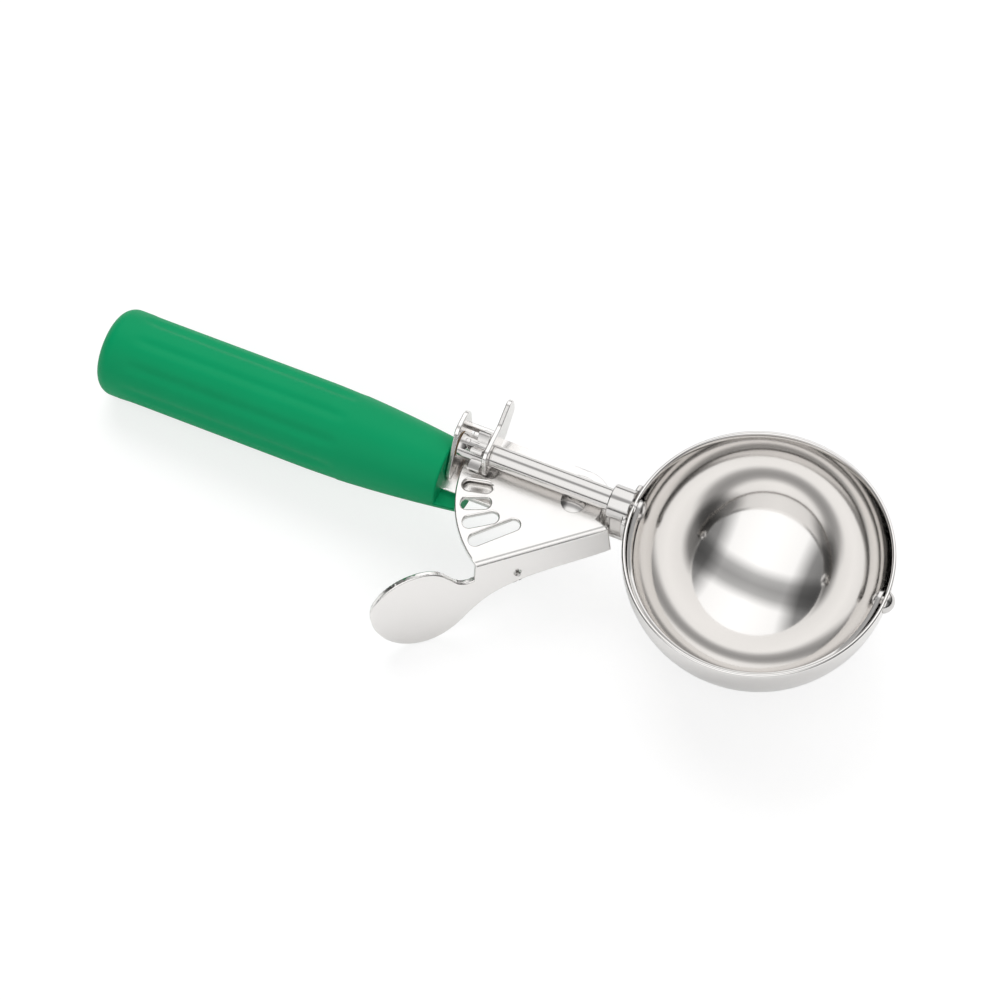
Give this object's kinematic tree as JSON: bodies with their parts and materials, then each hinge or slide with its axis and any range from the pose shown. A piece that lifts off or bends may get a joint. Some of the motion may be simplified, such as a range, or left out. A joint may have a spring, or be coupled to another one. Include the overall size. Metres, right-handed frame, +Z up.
{
  "type": "ice cream scoop",
  "caption": "Ice cream scoop with a half-ball steel bowl, a thumb lever that turns a thin scraper round the bowl, and a green plastic handle.",
  "frame": {"origin": "middle of the object's box at the level of the table it lies on", "axes": "+X along the spindle's plan line towards the bowl, +Y away from the thumb pad, +Z up; the scoop lies on its bowl, the end of its handle and its thumb pad"},
  "size_m": [0.2108, 0.0814, 0.0402],
  "materials": {
    "green_plastic": "moulded satin",
    "stamped_steel": "stamped and tumbled",
    "polished_steel": "polished",
    "spun_steel": "spun and polished",
    "scraper_steel": "polished strip",
    "spring_steel": "drawn wire",
    "bronze": "sintered"
  },
  "bodies": {
    "frame": {"bowl": "spun_steel", "frame_plate": "stamped_steel", "handle_grip": "green_plastic", "neck_rivets": "polished_steel", "neck_saddle": "polished_steel", "pinion_bracket": "stamped_steel", "pivot_rivet": "polished_steel", "pivot_washer": "polished_steel", "rear_bush": "bronze", "return_spring": "spring_steel", "spindle_tube": "polished_steel", "spring_washer": "polished_steel", "tip_rivet": "polished_steel"},
    "lever": {"thumb_lever": "stamped_steel"},
    "scraper": {"spindle_rod": "polished_steel", "pinion": "polished_steel", "pinion_pin": "polished_steel", "scraper_blade": "scraper_steel"}
  },
  "joints": [
    {"name": "lever_swing", "type": "hinge", "parent": "frame", "child": "lever", "pos_m": [0.02184, 0.00516, 0.03024], "axis": [0.0862, 0.0145, -0.9962], "range_deg": [0, 29.19], "stiffness_Nm_per_rad": 0.5, "springref_deg": -28.65, "deforming": ["return_spring"]},
    {"name": "scraper_sweep", "type": "hinge", "parent": "frame", "child": "scraper", "pos_m": [0.07016, 0.00716, 0.03445], "axis": [0.9963, 0, 0.0862], "range_deg": [0, 155.2]}
  ],
  "couplings": [
    {"joint": "scraper_sweep", "follows": "lever_swing", "ratio": 5.3097}
  ]
}
